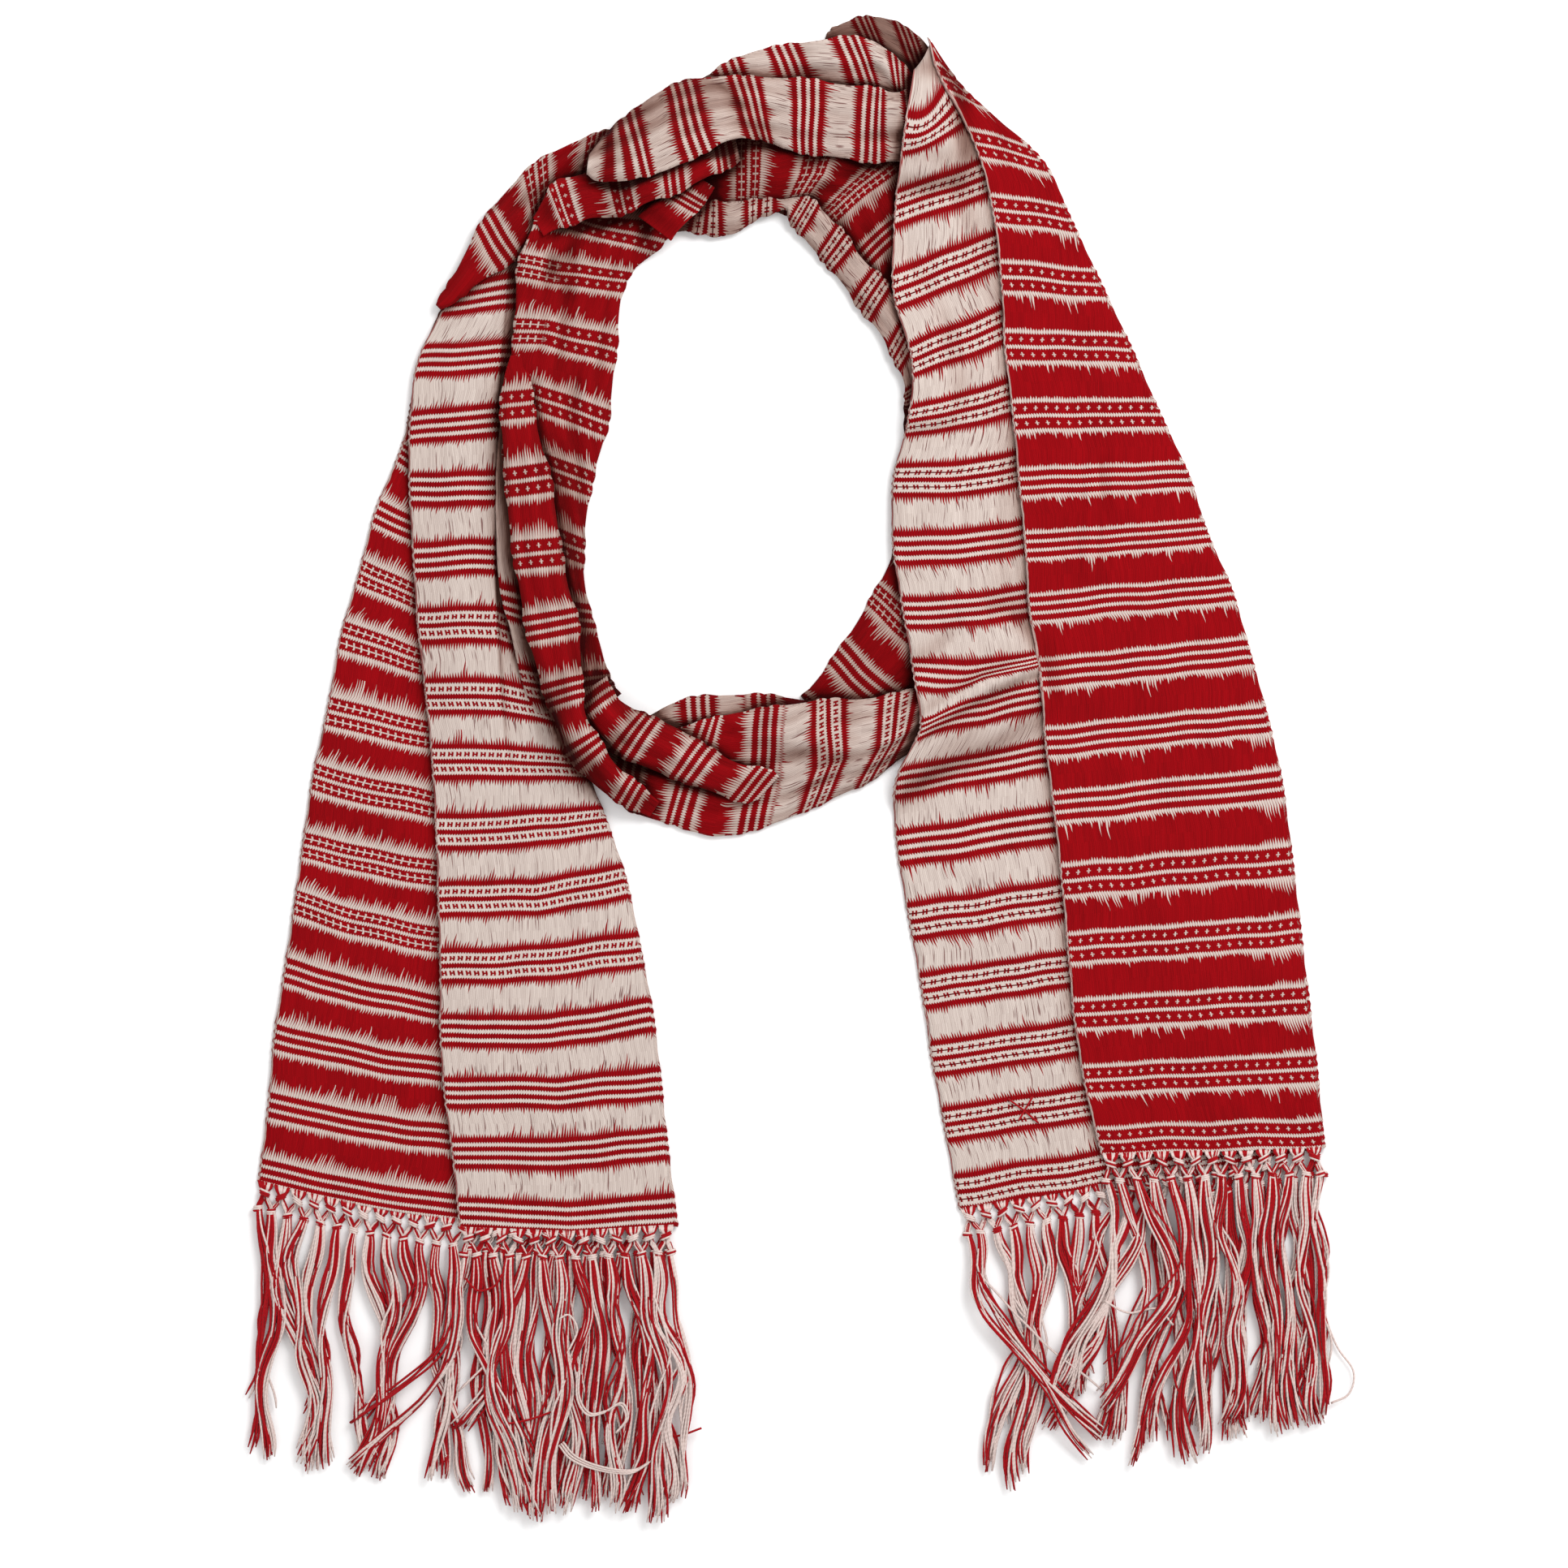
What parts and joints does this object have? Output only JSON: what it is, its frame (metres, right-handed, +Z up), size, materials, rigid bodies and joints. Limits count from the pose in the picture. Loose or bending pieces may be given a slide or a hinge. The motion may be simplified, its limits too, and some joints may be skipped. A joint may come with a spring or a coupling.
{
  "type": "woven cotton scarf",
  "caption": "Double-faced woven cotton scarf in red and cream, laid flat in one neck loop with two folded tails and knotted fringe.",
  "frame": {"origin": "bottom centre of the laid scarf's bounding box, on the floor that it rests on", "axes": "+X to the right across both tails, +Y away from the fringe towards the neck, +Z up"},
  "size_m": [0.538, 0.7388, 0.0186],
  "materials": {
    "red_cotton": "matt woven cotton",
    "cream_cotton": "matt woven cotton",
    "shaded_red_cotton": "matt woven cotton",
    "red_and_cream_cotton": "matt knotted cotton yarn"
  },
  "bodies": {
    "root": {"left_tail": "cream_cotton", "right_tail": "red_cotton", "left_turn": "shaded_red_cotton", "neck_front": "cream_cotton", "neck_roll": "red_cotton", "neck_back": "shaded_red_cotton", "neck_crown": "cream_cotton", "loop_left": "red_cotton", "loop_bottom": "red_cotton", "fringe_left_back": "red_and_cream_cotton", "fringe_left_front": "red_and_cream_cotton", "fringe_right_back": "red_and_cream_cotton", "fringe_right_front": "red_and_cream_cotton"}
  },
  "joints": []
}
